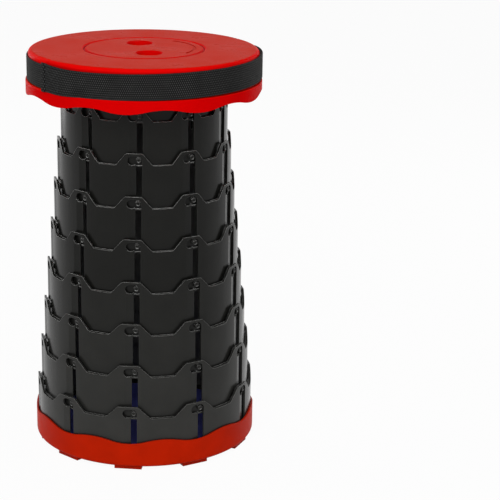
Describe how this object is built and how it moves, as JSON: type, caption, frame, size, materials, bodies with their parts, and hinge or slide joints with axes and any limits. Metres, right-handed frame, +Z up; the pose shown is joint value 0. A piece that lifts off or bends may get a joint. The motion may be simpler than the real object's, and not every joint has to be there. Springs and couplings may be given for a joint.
{
  "type": "collapsible telescopic stool",
  "caption": "Round plastic stool whose nested rings slide up out of a base and drop into it again, with a webbing strap and carrying loop round the seat.",
  "frame": {"origin": "on the ground, under the middle of the round base", "axes": "+Z up along the column, -Y towards the front, +Y towards the carrying loop, +X to the right"},
  "size_m": [0.25, 0.277, 0.4303],
  "materials": {
    "seat_red": "satin moulded polypropylene",
    "base_red": "satin moulded polypropylene",
    "ring_black": "satin to gloss moulded polypropylene",
    "strap_webbing": "woven polypropylene webbing",
    "slider_plastic": "satin moulded acetal",
    "label_cloth": "plain woven tape",
    "screw_steel": "zinc plated"
  },
  "bodies": {
    "base": {"base_tray": "base_red", "base_screws": "screw_steel", "ring_9": "ring_black"},
    "stage_8": {"ring_8": "ring_black"},
    "stage_7": {"ring_7": "ring_black"},
    "stage_6": {"ring_6": "ring_black"},
    "stage_5": {"ring_5": "ring_black"},
    "stage_4": {"ring_4": "ring_black"},
    "stage_3": {"ring_3": "ring_black"},
    "stage_2": {"ring_2": "ring_black"},
    "seat": {"ring_1": "ring_black", "seat_shell": "seat_red", "seat_cap": "seat_red", "seat_screws": "screw_steel", "strap_band": "strap_webbing", "strap_tail": "strap_webbing", "strap_slider": "slider_plastic", "strap_label": "label_cloth", "strap_feet": "strap_webbing"},
    "handle": {"strap_handle": "strap_webbing"}
  },
  "joints": [
    {"name": "stage_8_slide", "type": "slide", "parent": "base", "child": "stage_8", "axis": [0, 0, 1], "range_m": [-0.0446, 0]},
    {"name": "stage_7_slide", "type": "slide", "parent": "stage_8", "child": "stage_7", "axis": [0, 0, 1], "range_m": [-0.0446, 0]},
    {"name": "stage_6_slide", "type": "slide", "parent": "stage_7", "child": "stage_6", "axis": [0, 0, 1], "range_m": [-0.0446, 0]},
    {"name": "stage_5_slide", "type": "slide", "parent": "stage_6", "child": "stage_5", "axis": [0, 0, 1], "range_m": [-0.0446, 0]},
    {"name": "stage_4_slide", "type": "slide", "parent": "stage_5", "child": "stage_4", "axis": [0, 0, 1], "range_m": [-0.0446, 0]},
    {"name": "stage_3_slide", "type": "slide", "parent": "stage_4", "child": "stage_3", "axis": [0, 0, 1], "range_m": [-0.0446, 0]},
    {"name": "stage_2_slide", "type": "slide", "parent": "stage_3", "child": "stage_2", "axis": [0, 0, 1], "range_m": [-0.0446, 0]},
    {"name": "seat_slide", "type": "slide", "parent": "stage_2", "child": "seat", "axis": [0, 0, 1], "range_m": [-0.0446, 0]},
    {"name": "handle_fold", "type": "hinge", "parent": "seat", "child": "handle", "pos_m": [0, 0.139, 0.4123], "axis": [1, 0, 0], "range_deg": [0, 90]}
  ]
}
